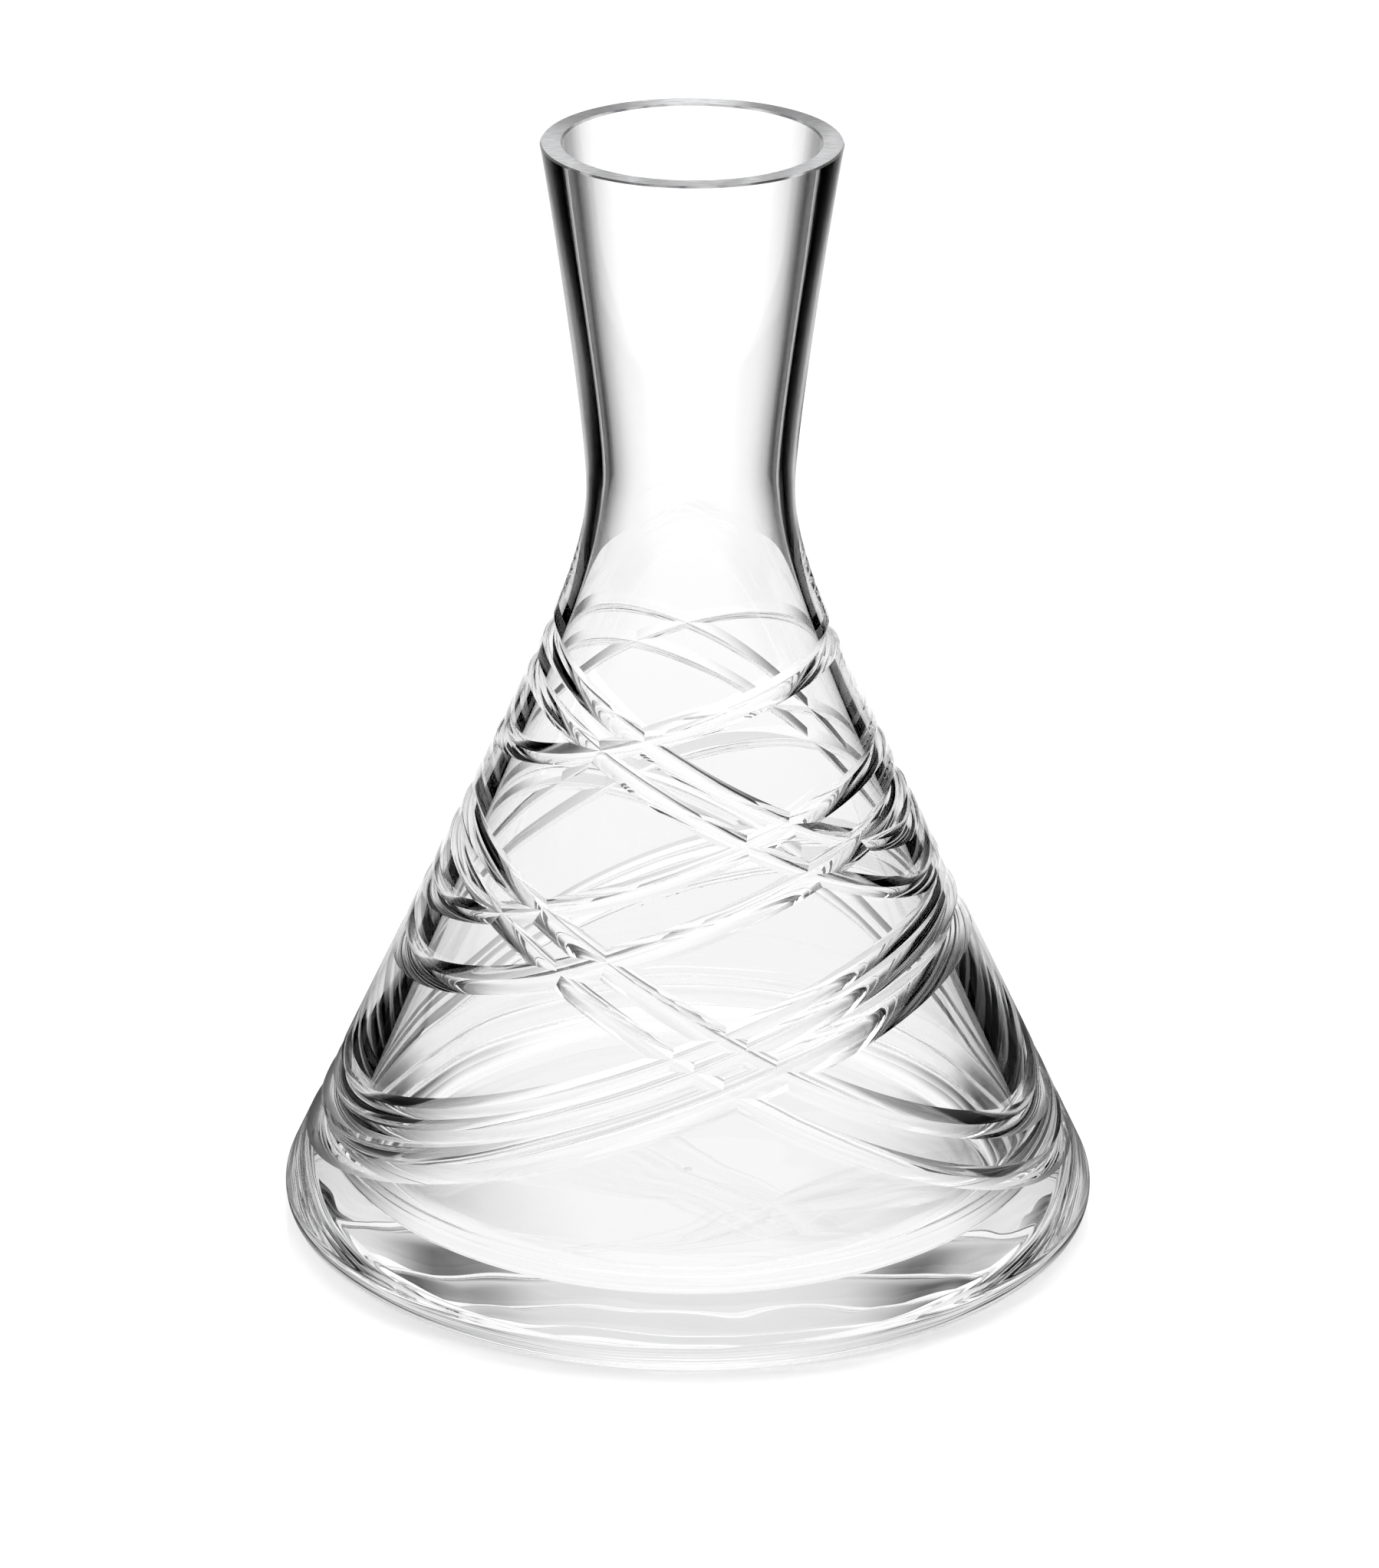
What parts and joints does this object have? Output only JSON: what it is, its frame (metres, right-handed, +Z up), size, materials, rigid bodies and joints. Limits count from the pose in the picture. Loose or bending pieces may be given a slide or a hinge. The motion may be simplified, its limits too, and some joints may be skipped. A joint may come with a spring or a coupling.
{
  "type": "wine decanter",
  "caption": "Cone-shaped clear crystal wine decanter with a wide heavy base, a narrow waist, a flared mouth with a flat ground rim, and crossing tilted bands of cut V grooves.",
  "frame": {"origin": "centre of the foot ring, on the surface that the decanter stands on", "axes": "+Z up through the mouth; -Y is the front, where the wide band climbs to the right and crosses the paired band"},
  "size_m": [0.1836, 0.1836, 0.25],
  "materials": {
    "clear_crystal": "polished, with a satin ground rim"
  },
  "bodies": {
    "root": {"glass_vessel": "clear_crystal"}
  },
  "joints": []
}
